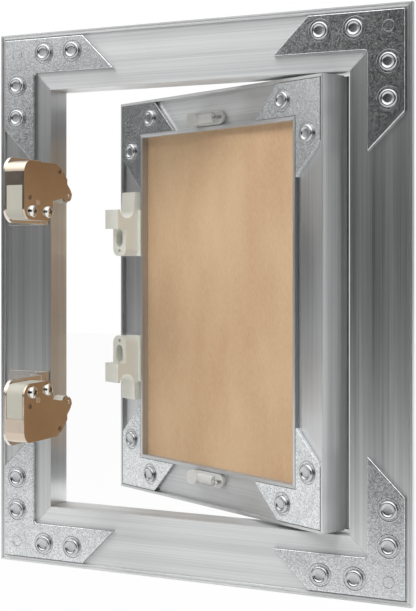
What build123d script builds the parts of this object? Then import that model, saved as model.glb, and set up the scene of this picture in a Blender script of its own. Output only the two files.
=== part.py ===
from build123d import *
import os

# Drywall access panel, seen from the cavity side, with the leaf ajar towards the room.
# X runs right, Z up and Y from the cavity to the room. The origin is the middle of the
# opening, on the plane where the frame bears on the back of the wallboard. Sizes in mm.

os.makedirs("parts", exist_ok=True)

# Fixed frame of mitred aluminium rails
frame_width = 211.0
frame_height = 262.0
frame_border = 28.5
flange_thickness = 1.8
edge_bead_width = 2.4
edge_bead_proud = 0.7
edge_foot = 0.7
bead_groove_width = 0.5
bead_groove_depth = 0.3
collar_thickness = 1.5
wallboard_thickness = 12.5

# Leaf of mitred aluminium rails round a plasterboard panel
leaf_gap = 1.5
leaf_border = 19.0
leaf_wall_thickness = 1.3
leaf_rim_proud = 2.0
leaf_bead_width = 1.6
leaf_board_thickness = 12.0
board_fit = 0.2
paper_thickness = 0.3
shadow_groove_width = 2.2
shadow_groove_depth = 0.5
shadow_groove_land = 1.0

# Pivots at the top and bottom of the leaf
pivot_from_leaf_edge = 19.5
pivot_from_room_face = 3.0
leaf_open_angle = 25.7
pivot_pin_radius = 1.5
running_fit = 0.05
static_fit = 0.03
bush_radius = 2.3
bush_flange_radius = 2.9
bush_flange_thickness = 1.2
bush_stand_off = 0.8
pivot_block_width = 14.0
pivot_block_height = 12.0
pivot_pin_stand_off = 0.6

# Clinched corner plates of galvanised steel
plate_thickness = 2.0
plate_inner_fillet = 1.6
plate_edge_gap = 3.0
plate_arm_width = 17.0
plate_outer_end = 47.5
leaf_plate_edge_gap = 1.6
leaf_plate_arm_width = 15.6
leaf_plate_outer_end = 29.3
leaf_plate_inner_fillet = 0.4
clinch_radius = 4.1
clinch_height = 1.6
clinch_dimple_radius = 2.9
clinch_dimple_depth = 0.5
clinch_from_edge = 10.25
clinch_positions = (25.8, 41.8)
leaf_clinch_from_edge = 9.5
leaf_clinch_positions = (25.7,)

# Touch latch: depths are measured from the frame's flange, heights from the latch's underside
latch_from_top = 93.7
latch_from_opening = 16.8
lock_width = 10.5
lock_height = 26.9
lock_corner = 3.2
lock_leg_depth = 24.9
cheek_thickness = 1.0
cheek_mouth_depth = 12.0
cheek_mouth_rise = 12.7
web_end_rise = 15.7
web_end_depth = 22.0
slope_depth = 17.75
slope_drop = 1.7
slope_rise = 0.9
body_clearance = 0.1
lever_pivot_depth = 37.65
lever_pivot_rise = 8.1
lock_beyond_pivot = 11.85
lever_pin_radius = 1.5
lever_boss_radius = 3.4
lever_side_clearance = 0.4
lever_cheek_thickness = 1.15
lever_band = 1.2
nose_tip_depth = 5.35
nose_depth = 4.3
nose_pin_radius = 1.2
nose_pin_proud = 0.3
pad_side_clearance = 0.1
latch_screw_rise = 4.0
latch_screws_from_pivot = (5.2, -7.9)
screw_radius = 1.5
screw_head_radius = 2.9
screw_head_height = 1.9
spring_wire_radius = 0.35
spring_turns = 4
case_rivet_radius = 1.1
case_rivet_proud = 0.25
case_rivet_from_pivot = (7.0, 2.2)
cheek_rivet_from_slope = (1.3, -1.9)

# Joggled bracket that carries the latch on the lock stile
bracket_thickness = 1.5
bracket_below = 1.3
bracket_above = 2.0
bracket_from_edge = 5.0
bracket_step_depth = 17.2
bracket_reach = 48.4
bracket_bend_radius = 2.0
bracket_chamfer = 4.0
bracket_rivet_radius = 1.6
bracket_rivet_head = 3.0
bracket_rivet_head_height = 0.9
bracket_rivet_from_edge = 13.5
bracket_rivet_rises = (5.9, 21.9)

# Strike on the leaf, one for each latch: heights are from the latch's underside
strike_width = 11.2
strike_from_rim = 2.1
strike_bottom = -16.6
strike_top = 16.7
strike_foot_thickness = 1.5
strike_foot_clearance = 0.2
lobe_height = 9.4
lobe_fillet = 4.2
block_bottom = -2.5
block_top_rise = 7.4
block_height = 14.4
lip_thickness = 1.5
notch_end_rise = 3.0
tongue_height = 4.3
tongue_end_height = 3.6
strike_slot_width = 5.6
strike_slot_length = 8.9
strike_slot_middle = -7.3
strike_floor = 3.0
strike_hole_radius = 1.0
strike_hole_drop = -14.0
strike_screw_drop = -8.7
strike_screw_head_radius = 2.6
strike_screw_head_height = 1.8
strike_screw_length = 7.0

# Nylon tether lug on the top and bottom rails of the leaf
lug_middle_x = -4.5
lug_from_leaf_edge = 13.4
lug_length = 24.2
lug_width = 6.8
lug_base_thickness = 1.6
lug_head_length = 7.4
lug_head_height = 4.6
lug_barrel_radius = 2.5
lug_pin_radius = 0.8
lug_pin_proud = 0.5
lug_pin_spacing = 2.3
lug_pin_from_end = 1.6

# Levels and lengths that follow from the sizes above
flange_back = -(edge_foot + flange_thickness)
room_face = wallboard_thickness
opening_half_width = frame_width / 2 - frame_border
opening_half_height = frame_height / 2 - frame_border
leaf_half_width = opening_half_width - leaf_gap
leaf_half_height = opening_half_height - leaf_gap
pivot_x = leaf_half_width - pivot_from_leaf_edge
pivot_y = room_face - pivot_from_room_face
board_back = flange_back + flange_thickness
board_half_width = leaf_half_width - leaf_wall_thickness - board_fit
board_half_height = leaf_half_height - leaf_wall_thickness - board_fit
board_front = board_back + leaf_board_thickness + 2 * paper_thickness
lug_height = leaf_half_height - lug_from_leaf_edge
strike_x = -leaf_half_width + leaf_wall_thickness + strike_from_rim
lock_face_x = -opening_half_width + latch_from_opening
lock_depth = lever_pivot_depth + lock_beyond_pivot
lock_low = frame_height / 2 - latch_from_top
lock_high = lock_low + lock_height
slope_height = lock_high - slope_drop
cheek_mouth_height = lock_low + cheek_mouth_rise
web_end_height = lock_low + web_end_rise
lever_pivot_height = lock_low + lever_pivot_rise
latch_screw_height = lock_low + latch_screw_rise
latch_screw_depths = [lever_pivot_depth + offset for offset in latch_screws_from_pivot]
case_rivet = (lever_pivot_depth + case_rivet_from_pivot[0], lever_pivot_height + case_rivet_from_pivot[1])
cheek_rivet = (slope_depth + cheek_rivet_from_slope[0], slope_height + cheek_rivet_from_slope[1])
bracket_base_end = -frame_width / 2 + bracket_from_edge
bracket_rivet_x = -frame_width / 2 + bracket_rivet_from_edge
bracket_rivet_heights = [lock_low + rise for rise in bracket_rivet_rises]
strike_low = lock_low + strike_bottom
strike_high = lock_low + strike_top
block_low = lock_low + block_bottom
block_high = lock_low + block_top_rise
notch_end = lock_low + notch_end_rise
strike_hole_height = lock_low + strike_hole_drop
strike_screw_height = lock_low + strike_screw_drop
lever_middle_x = lock_face_x - lock_width / 2
lever_width = lock_width - 2 * (cheek_thickness + lever_side_clearance)
pad_width = lever_width - 2 * (lever_cheek_thickness + pad_side_clearance)

SIDES = {
    "top_rail": Vector(0, 0, 1),
    "bottom_rail": Vector(0, 0, -1),
    "lock_stile": Vector(-1, 0, 0),
    "hinge_stile": Vector(1, 0, 0),
}
CORNERS = {
    "top_lock": (True, False),
    "top_hinge": (False, False),
    "bottom_lock": (True, True),
    "bottom_hinge": (False, True),
}

# The leaf is modelled shut and turned about its pivots to where it stands ajar
LEAF_AJAR = (
    Location((pivot_x, pivot_y, 0))
    * Location((0, 0, 0), (0, 0, -leaf_open_angle))
    * Location((-pivot_x, -pivot_y, 0))
)


def save(piece, name, place=Location()):
    """Label a finished piece and write its STEP file."""
    finished = piece.moved(place)
    finished.label = name
    export_step(finished, f"parts/{name}.step")


def section_plane(outward, half):
    """Plane across a rail: local x is +Y and local y points out of the panel."""
    along = Vector(0, 1, 0).cross(outward)
    return Plane(origin=outward * half, x_dir=(0, 1, 0), z_dir=along)


def face_plane(outward, half):
    """Plane of the panel at a rail's outer edge: local y points out of the panel."""
    along = Vector(0, 1, 0).cross(outward)
    return Plane(origin=outward * half, x_dir=along, z_dir=along.cross(outward))


def mitred(length, border):
    """Outline of a rail cut to 45 degrees at both ends, on its face plane."""
    inner = length / 2 - border
    outline([(-length / 2, 0), (length / 2, 0), (inner, -border), (-inner, -border)])


def strip(low, high, outer, inner, mode=Mode.ADD):
    """Rectangle of a rail's section from Y low to high, and outer to inner from its edge."""
    with Locations((low, -outer)):
        Rectangle(high - low, inner - outer, align=(Align.MIN, Align.MAX), mode=mode)


def latch_plane(x):
    """Plane of the latch's side at x: local x is depth into the cavity, local y is height."""
    return Plane(origin=(x, flange_back, 0), x_dir=(0, -1, 0), z_dir=(-1, 0, 0))


def outline(points):
    """Closed face through points."""
    Polygon(*points, align=None)


# Frame rails
def frame_rail(name):
    outward = SIDES[name]
    upright = abs(outward.X) > 0.5
    half = (frame_width if upright else frame_height) / 2
    length = frame_height if upright else frame_width
    with BuildPart() as rail:
        with BuildSketch(section_plane(outward, half)):
            strip(flange_back, -edge_foot, 0, frame_border)
            strip(flange_back - edge_bead_proud, 0, 0, edge_bead_width)
            strip(flange_back, room_face, frame_border - collar_thickness, frame_border)
            bead_face = flange_back - edge_bead_proud
            groove = (edge_bead_width - bead_groove_width) / 2
            strip(bead_face, bead_face + bead_groove_depth, groove, groove + bead_groove_width, Mode.SUBTRACT)
        extrude(amount=length / 2, both=True)
        with BuildSketch(face_plane(outward, half)):
            mitred(length, frame_border)
        extrude(amount=frame_height, both=True, mode=Mode.INTERSECT)
        if not upright:
            with BuildSketch(Plane.XY.offset(outward.Z * opening_half_height)):
                with Locations((pivot_x, pivot_y)):
                    Circle(bush_radius + static_fit)
            extrude(amount=2 * collar_thickness, both=True, mode=Mode.SUBTRACT)
        if name == "lock_stile":
            with BuildSketch(Plane.XZ):
                for height in bracket_rivet_heights:
                    with Locations((bracket_rivet_x, height), (bracket_rivet_x, -height)):
                        Circle(bracket_rivet_radius + static_fit)
            extrude(amount=-flange_back, both=True, mode=Mode.SUBTRACT)
    return rail.part


for side in SIDES:
    save(frame_rail(side), f"frame_{side}")


# Clinched corner plates, drawn at the top hinge corner and mirrored to the others
def corner_plate(half_width, half_height, gap, arm, outer_end, elbow_radius, from_edge, positions):
    inner = gap + arm
    tip = outer_end + arm
    corner_out = Plane(origin=(half_width, flange_back, half_height), x_dir=(1, 0, 0), z_dir=(0, -1, 0))
    centres = [(-from_edge, -along) for along in positions]
    centres += [(-along, -from_edge) for along in positions]
    with BuildPart() as plate:
        with BuildSketch(corner_out):
            outline([
                (-gap, -gap), (-outer_end, -gap), (-tip, -inner),
                (-inner, -inner), (-inner, -tip), (-gap, -outer_end),
            ])
            elbow = vertices().sort_by_distance((-inner, -inner, 0))[0]
            fillet(elbow, elbow_radius)
        extrude(amount=plate_thickness)
        with BuildSketch(corner_out.offset(plate_thickness)):
            with Locations(*centres):
                Circle(clinch_radius)
        extrude(amount=clinch_height)
        with BuildSketch(corner_out.offset(plate_thickness + clinch_height)):
            with Locations(*centres):
                Circle(clinch_dimple_radius)
        extrude(amount=-clinch_dimple_depth, mode=Mode.SUBTRACT)
    return plate.part


def at_corner(piece, corner):
    """The piece mirrored from the top hinge corner to the named one."""
    to_lock_side, to_bottom = CORNERS[corner]
    if to_lock_side:
        piece = piece.mirror(Plane.YZ)
    if to_bottom:
        piece = piece.mirror(Plane.XY)
    return piece


frame_plate = corner_plate(
    frame_width / 2, frame_height / 2, plate_edge_gap, plate_arm_width,
    plate_outer_end, plate_inner_fillet, clinch_from_edge, clinch_positions,
)
leaf_plate = corner_plate(
    leaf_half_width, leaf_half_height, leaf_plate_edge_gap, leaf_plate_arm_width,
    leaf_plate_outer_end, leaf_plate_inner_fillet, leaf_clinch_from_edge, leaf_clinch_positions,
)
for corner in CORNERS:
    save(at_corner(frame_plate, corner), f"frame_corner_plate_{corner}")
    save(at_corner(leaf_plate, corner), f"leaf_corner_plate_{corner}", LEAF_AJAR)


# Leaf rails
def leaf_rail(name):
    outward = SIDES[name]
    upright = abs(outward.X) > 0.5
    half = leaf_half_width if upright else leaf_half_height
    length = 2 * (leaf_half_height if upright else leaf_half_width)
    rim = flange_back - leaf_rim_proud
    groove_end = room_face - shadow_groove_land
    with BuildPart() as rail:
        with BuildSketch(section_plane(outward, half)):
            strip(flange_back, board_back, 0, leaf_border)
            strip(rim, room_face, 0, leaf_wall_thickness)
            strip(rim, flange_back, leaf_border - leaf_bead_width, leaf_border)
            strip(groove_end - shadow_groove_width, groove_end, 0, shadow_groove_depth, Mode.SUBTRACT)
        extrude(amount=length / 2, both=True)
        with BuildSketch(face_plane(outward, half)):
            mitred(length, leaf_border)
        extrude(amount=frame_height, both=True, mode=Mode.INTERSECT)
        if not upright:
            with BuildSketch(Plane.XY.offset(outward.Z * half)):
                with Locations((pivot_x, pivot_y)):
                    Circle(pivot_pin_radius + static_fit)
            extrude(amount=2 * leaf_wall_thickness, both=True, mode=Mode.SUBTRACT)
            with BuildSketch(Plane.XZ):
                with Locations(*[(x, outward.Z * lug_height) for x in lug_pin_places]):
                    Circle(lug_pin_radius + static_fit)
            extrude(amount=-2 * flange_back, both=True, mode=Mode.SUBTRACT)
        if name == "lock_stile":
            with BuildSketch(Plane.XZ):
                with Locations(*strike_screw_places):
                    Circle(screw_radius + static_fit)
            extrude(amount=-2 * flange_back, both=True, mode=Mode.SUBTRACT)
    return rail.part


strike_middle_x = strike_x + strike_width / 2
strike_screw_places = [(strike_middle_x, strike_screw_height), (strike_middle_x, -strike_screw_height)]
lug_end = lug_middle_x + lug_length / 2
lug_pin_places = [lug_end - lug_pin_from_end, lug_end - lug_pin_from_end - lug_pin_spacing]
for side in SIDES:
    save(leaf_rail(side), f"leaf_{side}", LEAF_AJAR)


# Plasterboard: gypsum core between its two paper liners, notched for the pivot blocks
def board_layer(back, thickness):
    block_clear = pivot_block_width / 2 + board_fit
    notch_bottom = leaf_half_height - leaf_wall_thickness - pivot_block_height - board_fit
    notch_height = board_half_height - notch_bottom
    above = (Align.CENTER, Align.MIN)
    below = (Align.CENTER, Align.MAX)
    with BuildPart() as layer:
        with BuildSketch(Plane.XZ.offset(-back)):
            Rectangle(2 * board_half_width, 2 * board_half_height)
            with Locations((pivot_x, notch_bottom)):
                Rectangle(2 * block_clear, 2 * notch_height, align=above, mode=Mode.SUBTRACT)
            with Locations((pivot_x, -notch_bottom)):
                Rectangle(2 * block_clear, 2 * notch_height, align=below, mode=Mode.SUBTRACT)
        extrude(amount=-thickness)
        screw_reach = strike_screw_length + static_fit
        with BuildSketch(Plane.XZ.offset(-board_back + flange_thickness)):
            with Locations(*strike_screw_places):
                Circle(screw_radius + static_fit)
        extrude(amount=-screw_reach, mode=Mode.SUBTRACT)
    return layer.part


core_back = board_back + paper_thickness
core_front = core_back + leaf_board_thickness
save(board_layer(board_back, paper_thickness), "board_back_paper", LEAF_AJAR)
save(board_layer(core_back, leaf_board_thickness), "board_gypsum_core", LEAF_AJAR)
save(board_layer(core_front, paper_thickness), "board_face_paper", LEAF_AJAR)


# Pivot blocks and pins in the leaf, bushes in the frame
block_top = leaf_half_height - leaf_wall_thickness
with BuildPart() as pivot_block:
    with BuildSketch(Plane.XY.offset(block_top)):
        with Locations((pivot_x, board_back)):
            Rectangle(pivot_block_width, board_front - board_back, align=(Align.CENTER, Align.MIN))
    extrude(amount=-pivot_block_height)
    with BuildSketch(Plane.XY.offset(block_top)):
        with Locations((pivot_x, pivot_y)):
            Circle(pivot_pin_radius + static_fit)
    extrude(amount=-pivot_block_height, mode=Mode.SUBTRACT)
    chamfer(pivot_block.edges().filter_by(Axis.Y).group_by(Axis.Z)[0], leaf_wall_thickness)

with BuildPart() as pivot_pin:
    with BuildSketch(Plane.XY.offset(block_top - pivot_block_height)):
        with Locations((pivot_x, pivot_y)):
            Circle(pivot_pin_radius)
    pin_top = opening_half_height + collar_thickness + bush_stand_off + pivot_pin_stand_off
    extrude(amount=pin_top - (block_top - pivot_block_height))
    chamfer(pivot_pin.edges().group_by(Axis.Z)[-1], pivot_pin_radius / 4)

with BuildPart() as pivot_bush:
    with BuildSketch(Plane.XY.offset(opening_half_height)):
        with Locations((pivot_x, pivot_y)):
            Circle(bush_radius)
    extrude(amount=collar_thickness + bush_stand_off)
    with BuildSketch(Plane.XY.offset(opening_half_height)):
        with Locations((pivot_x, pivot_y)):
            Circle(bush_flange_radius)
    extrude(amount=-bush_flange_thickness)
    with BuildSketch(Plane.XY.offset(opening_half_height - bush_flange_thickness)):
        with Locations((pivot_x, pivot_y)):
            Circle(pivot_pin_radius + running_fit)
    extrude(amount=pin_top - opening_half_height + bush_flange_thickness, mode=Mode.SUBTRACT)

for level, flip in (("top", False), ("bottom", True)):
    for piece, name, place in (
        (pivot_block.part, "pivot_block", LEAF_AJAR),
        (pivot_pin.part, "pivot_pin", LEAF_AJAR),
        (pivot_bush.part, "pivot_bush", Location()),
    ):
        save(piece.mirror(Plane.XY) if flip else piece, f"{name}_{level}", place)


# Joggled latch bracket, bent from one strip
with BuildPart() as bracket:
    with BuildSketch(Plane.XY.offset(lock_low - bracket_below)):
        with BuildLine():
            leg_x = -opening_half_width - bracket_thickness / 2
            upright_x = lock_face_x - lock_width - bracket_thickness / 2
            base_y = flange_back - bracket_thickness / 2
            FilletPolyline(
                (bracket_base_end, base_y),
                (leg_x, base_y),
                (leg_x, flange_back - bracket_step_depth),
                (upright_x, flange_back - bracket_step_depth),
                (upright_x, flange_back - bracket_reach),
                radius=bracket_bend_radius,
            )
        trace(line_width=bracket_thickness)
    extrude(amount=lock_height + bracket_below + bracket_above)
    chamfer(bracket.edges().filter_by(Axis.X).group_by(Axis.Y)[0], bracket_chamfer)
    with BuildSketch(latch_plane(lock_face_x - lock_width)):
        with Locations(*[(depth, latch_screw_height) for depth in latch_screw_depths]):
            Circle(screw_radius + static_fit)
    extrude(amount=2 * bracket_thickness, both=True, mode=Mode.SUBTRACT)
    with BuildSketch(Plane.XZ.offset(-flange_back)):
        with Locations(*[(bracket_rivet_x, height) for height in bracket_rivet_heights]):
            Circle(bracket_rivet_radius + static_fit)
    extrude(amount=2 * bracket_thickness, both=True, mode=Mode.SUBTRACT)

with BuildPart() as bracket_rivets:
    with BuildSketch(Plane.XZ.offset(edge_foot)):
        with Locations(*[(bracket_rivet_x, height) for height in bracket_rivet_heights]):
            Circle(bracket_rivet_radius)
    extrude(amount=flange_thickness + bracket_thickness)
    with BuildSketch(Plane.XZ.offset(-flange_back + bracket_thickness)):
        with Locations(*[(bracket_rivet_x, height) for height in bracket_rivet_heights]):
            Circle(bracket_rivet_head)
    extrude(amount=bracket_rivet_head_height)
    chamfer(bracket_rivets.edges().group_by(Axis.Y)[0], bracket_rivet_head_height / 2)

# Nickel plated latch case: two cheeks joined by a web over the front and the outer end
mouth_top = slope_height - slope_rise * (slope_depth - cheek_mouth_depth)
case_points = [
    (lock_depth, lock_low + lock_corner),
    (lock_depth - lock_corner, lock_low),
    (lock_leg_depth + lock_corner, lock_low),
    (lock_leg_depth, lock_low + lock_corner),
    (lock_leg_depth, cheek_mouth_height - lock_corner),
    (cheek_mouth_depth + lock_corner, cheek_mouth_height - lock_corner / 2),
    (cheek_mouth_depth, cheek_mouth_height),
    (cheek_mouth_depth, mouth_top),
    (slope_depth, slope_height),
    (web_end_depth, lock_high),
    (lock_depth - lock_corner, lock_high),
    (lock_depth, lock_high - lock_corner),
]
inside_depth = lock_depth - cheek_thickness
inside_high = lock_high - cheek_thickness
beyond = lock_depth + lock_width
with BuildPart() as latch_case:
    with BuildSketch(latch_plane(lock_face_x)):
        outline(case_points)
    extrude(amount=lock_width)
    with BuildSketch(latch_plane(lock_face_x - cheek_thickness)):
        outline([
            (beyond, 0), (beyond, web_end_height), (inside_depth, web_end_height),
            (inside_depth, inside_high - lock_corner), (inside_depth - lock_corner, inside_high),
            (web_end_depth, inside_high), (web_end_depth, beyond + lock_high),
            (0, beyond + lock_high), (0, 0),
        ])
    extrude(amount=lock_width - 2 * cheek_thickness, mode=Mode.SUBTRACT)
    with BuildSketch(latch_plane(lock_face_x)):
        with Locations(*[(depth, latch_screw_height) for depth in latch_screw_depths]):
            Circle(screw_radius + static_fit)
        with Locations((lever_pivot_depth, lever_pivot_height)):
            Circle(lever_pin_radius + static_fit)
        with Locations(case_rivet, cheek_rivet):
            Circle(case_rivet_radius + static_fit)
    extrude(amount=lock_width, mode=Mode.SUBTRACT)

# Cream latch body, seen on the front below the web
pocket_radius = lever_boss_radius + lever_side_clearance + body_clearance
body_floor = latch_screw_height + screw_radius + lever_side_clearance
back_wall = lever_pivot_depth + pocket_radius + lever_side_clearance
web_inside = inside_depth - body_clearance
with BuildPart() as latch_body:
    with BuildSketch(latch_plane(lock_face_x - cheek_thickness - body_clearance)):
        outline([
            (lock_depth, web_end_height - body_clearance),
            (lock_depth, lock_low + lock_corner),
            (lock_depth - lock_corner, lock_low),
            (lock_leg_depth + lock_corner, lock_low),
            (lock_leg_depth, lock_low + lock_corner),
            (lock_leg_depth, body_floor),
            (back_wall, body_floor),
            (back_wall, inside_high - body_clearance),
            (web_inside - lock_corner, inside_high - body_clearance),
            (web_inside, inside_high - lock_corner - body_clearance),
            (web_inside, web_end_height - body_clearance),
        ])
        with Locations((lever_pivot_depth, lever_pivot_height)):
            Circle(pocket_radius, mode=Mode.SUBTRACT)
        with Locations(*[(depth, latch_screw_height) for depth in latch_screw_depths]):
            Circle(screw_radius + static_fit, mode=Mode.SUBTRACT)
        with Locations(case_rivet):
            Circle(case_rivet_radius + static_fit, mode=Mode.SUBTRACT)
    extrude(amount=lock_width - 2 * (cheek_thickness + body_clearance))

# Hooked lever, a channel whose nose stands out of the case
nose_line = mouth_top - slope_rise * (cheek_mouth_depth - nose_tip_depth)
hook_height = nose_line - nose_depth
recess_height = hook_height + 0.9
lever_points = [
    (lever_pivot_depth, lever_pivot_height + lever_boss_radius),
    (lever_pivot_depth - 6.5, lever_pivot_height + 6.6),
    (lever_pivot_depth - 10.6, slope_height - 3.0),
    (slope_depth - 1.8, slope_height - 1.8 * slope_rise),
    (nose_tip_depth + 1.6, nose_line + 1.6 * slope_rise),
    (nose_tip_depth, hook_height + 3.4),
    (nose_tip_depth + 0.75, hook_height + 1.2),
    (nose_tip_depth + 2.4, hook_height),
    (nose_tip_depth + 5.4, hook_height),
    (nose_tip_depth + 7.2, recess_height),
    (nose_tip_depth + 10.0, recess_height),
    (lock_leg_depth, lever_pivot_height + 0.8),
    (lever_pivot_depth - 4.0, lever_pivot_height - 1.4),
    (lever_pivot_depth, lever_pivot_height - lever_boss_radius),
]
nose_pin_place = (nose_tip_depth + 3.0, hook_height + 2.3)
lever_side_x = lever_middle_x + lever_width / 2
with BuildPart() as latch_lever:
    with BuildSketch(latch_plane(lever_side_x)):
        outline(lever_points)
        with Locations((lever_pivot_depth, lever_pivot_height)):
            Circle(lever_boss_radius)
            Circle(lever_pin_radius + running_fit, mode=Mode.SUBTRACT)
        with Locations(nose_pin_place):
            Circle(nose_pin_radius + static_fit, mode=Mode.SUBTRACT)
    extrude(amount=lever_width)
    with BuildSketch(latch_plane(lever_side_x - lever_cheek_thickness)):
        outline([
            (beyond, 0),
            (beyond, lever_pivot_height + lever_boss_radius - lever_band),
            (lever_pivot_depth, lever_pivot_height + lever_boss_radius - lever_band),
            (lever_pivot_depth - 7.0, lever_pivot_height + 6.6 - 1.2 * lever_band),
            (lever_pivot_depth - 10.8, slope_height - 3.0 - lever_band),
            (slope_depth - 1.6, slope_height - 1.8 * slope_rise - 1.3 * lever_band),
            (nose_tip_depth + 1.6 + lever_band, nose_line + 1.6 * slope_rise - lever_band / 2),
            (nose_tip_depth + lever_band, hook_height + 3.2),
            (nose_tip_depth + lever_band, 0),
        ])
        with Locations((lever_pivot_depth, lever_pivot_height)):
            Circle(lever_boss_radius + body_clearance)
    extrude(amount=lever_width - 2 * lever_cheek_thickness, mode=Mode.SUBTRACT)

# Nylon pad in the nose, on its pin
pad_front = nose_tip_depth + lever_band + pad_side_clearance
with BuildPart() as nose_pad:
    with BuildSketch(latch_plane(lever_middle_x + pad_width / 2)):
        outline([
            (pad_front, hook_height + 3.1),
            (pad_front + 0.1, hook_height + 0.4),
            (pad_front + 1.2, hook_height - 0.8),
            (nose_tip_depth + 5.6, hook_height - 0.8),
            (nose_tip_depth + 7.0, recess_height + 0.1),
            (nose_tip_depth + 10.2, recess_height + 0.1),
            (nose_tip_depth + 10.2, nose_line + 3.0),
            (pad_front + 2.5, nose_line + 0.9),
        ])
        with Locations(nose_pin_place):
            Circle(nose_pin_radius + static_fit, mode=Mode.SUBTRACT)
    extrude(amount=pad_width)

with BuildPart() as nose_pin:
    with BuildSketch(latch_plane(lever_side_x + nose_pin_proud)):
        with Locations(nose_pin_place):
            Circle(nose_pin_radius)
    extrude(amount=lever_width + 2 * nose_pin_proud)

# Pivot pin of the lever, case rivets and latch screws
with BuildPart() as lever_pin:
    with BuildSketch(latch_plane(lock_face_x)):
        with Locations((lever_pivot_depth, lever_pivot_height)):
            Circle(lever_pin_radius)
    extrude(amount=lock_width)

with BuildPart() as case_rivet_set:
    with BuildSketch(latch_plane(lock_face_x + case_rivet_proud)):
        with Locations(case_rivet):
            Circle(case_rivet_radius)
    extrude(amount=lock_width + case_rivet_proud)
    with BuildSketch(latch_plane(lock_face_x + case_rivet_proud)):
        with Locations(cheek_rivet):
            Circle(case_rivet_radius)
    extrude(amount=cheek_thickness + case_rivet_proud)
    with BuildSketch(latch_plane(lock_face_x - lock_width)):
        with Locations(cheek_rivet):
            Circle(case_rivet_radius)
    extrude(amount=-cheek_thickness)

with BuildPart() as latch_screws:
    with BuildSketch(latch_plane(lock_face_x)):
        with Locations(*[(depth, latch_screw_height) for depth in latch_screw_depths]):
            Circle(screw_radius)
    extrude(amount=lock_width + 2 * bracket_thickness)
    with BuildSketch(latch_plane(lock_face_x)):
        with Locations(*[(depth, latch_screw_height) for depth in latch_screw_depths]):
            Circle(screw_head_radius)
    extrude(amount=-screw_head_height)
    chamfer(latch_screws.edges().group_by(Axis.X)[-1], screw_head_height * 0.4)

# Torsion spring round the lever's pin
spring_radius = lever_pin_radius + spring_wire_radius + static_fit
spring_pitch = 2.2 * spring_wire_radius
spring_start = lever_middle_x - spring_turns * spring_pitch / 2
spring_foot = (spring_start, flange_back - lever_pivot_depth, lever_pivot_height)
with BuildPart() as lever_spring:
    with BuildLine() as coil:
        Helix(
            spring_pitch, spring_turns * spring_pitch, spring_radius,
            center=spring_foot, direction=(1, 0, 0),
        )
    with BuildSketch(Plane(origin=coil.line @ 0, z_dir=coil.line % 0)):
        RegularPolygon(spring_wire_radius, 6)
    sweep()

for level, flip in (("upper", False), ("lower", True)):
    for piece, name in (
        (bracket.part, "latch_bracket"),
        (bracket_rivets.part, "bracket_rivets"),
        (latch_case.part, "latch_case"),
        (latch_body.part, "latch_body"),
        (latch_lever.part, "latch_lever"),
        (nose_pad.part, "nose_pad"),
        (nose_pin.part, "nose_pin"),
        (lever_pin.part, "lever_pin"),
        (case_rivet_set.part, "case_rivets"),
        (latch_screws.part, "latch_screws"),
        (lever_spring.part, "lever_spring"),
    ):
        save(piece.mirror(Plane.XY) if flip else piece, f"{level}_{name}")


# Strike: a notched hook over a sloping tongue, with a slotted lobe for its screw
notch_radius = (block_height - lip_thickness - tongue_height) / 2
notch_middle = tongue_height + notch_radius
foot_end = leaf_border - leaf_wall_thickness - strike_from_rim - leaf_bead_width - strike_foot_clearance
strike_side = Plane(origin=(strike_x, flange_back, 0), x_dir=(0, -1, 0), z_dir=(-1, 0, 0))
with BuildPart() as strike:
    with BuildSketch(strike_side):
        outline([
            (0, strike_low), (lobe_height, strike_low), (lobe_height, block_low), (block_height, block_low),
            (block_height, block_high), (tongue_height, block_high), (tongue_end_height, strike_high),
            (0, strike_high),
        ])
        with Locations((notch_middle, notch_end + notch_radius)):
            Circle(notch_radius, mode=Mode.SUBTRACT)
            Rectangle(2 * notch_radius, strike_high, align=(Align.CENTER, Align.MIN), mode=Mode.SUBTRACT)
    extrude(amount=-strike_width)
    with BuildSketch(strike_side):
        with Locations((0, strike_low)):
            Rectangle(strike_foot_thickness, block_high - strike_low, align=(Align.MIN, Align.MIN))
    extrude(amount=-foot_end)
    lobe_end = strike.edges().filter_by(Axis.Y).group_by(Axis.Z)[0].filter_by(
        lambda edge: edge.length > strike_foot_thickness * 2
    )
    fillet(lobe_end, lobe_fillet)
    lobe_face = Plane(
        origin=(strike_middle_x, flange_back - lobe_height, 0), x_dir=(1, 0, 0), z_dir=(0, -1, 0)
    )
    with BuildSketch(lobe_face):
        with Locations((0, lock_low + strike_slot_middle)):
            SlotOverall(strike_slot_length, strike_slot_width, rotation=90)
        with Locations((0, strike_hole_height)):
            Circle(strike_hole_radius)
    extrude(amount=strike_floor - lobe_height, mode=Mode.SUBTRACT)
    with BuildSketch(lobe_face):
        with Locations((0, strike_screw_height)):
            Circle(screw_radius + static_fit)
    extrude(amount=-lobe_height, mode=Mode.SUBTRACT)

with BuildPart() as strike_screw:
    with BuildSketch(lobe_face.offset(strike_floor - lobe_height)):
        with Locations((0, strike_screw_height)):
            Circle(strike_screw_head_radius)
    extrude(amount=strike_screw_head_height)
    chamfer(strike_screw.edges().group_by(Axis.Y)[0], strike_screw_head_height * 0.4)
    with BuildSketch(lobe_face.offset(strike_floor - lobe_height)):
        with Locations((0, strike_screw_height)):
            Circle(screw_radius)
    extrude(amount=-(strike_floor + strike_screw_length - 2 * static_fit))

for level, flip in (("upper", False), ("lower", True)):
    for piece, name in ((strike.part, "strike"), (strike_screw.part, "strike_screw")):
        save(piece.mirror(Plane.XY) if flip else piece, f"{level}_{name}", LEAF_AJAR)


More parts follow.
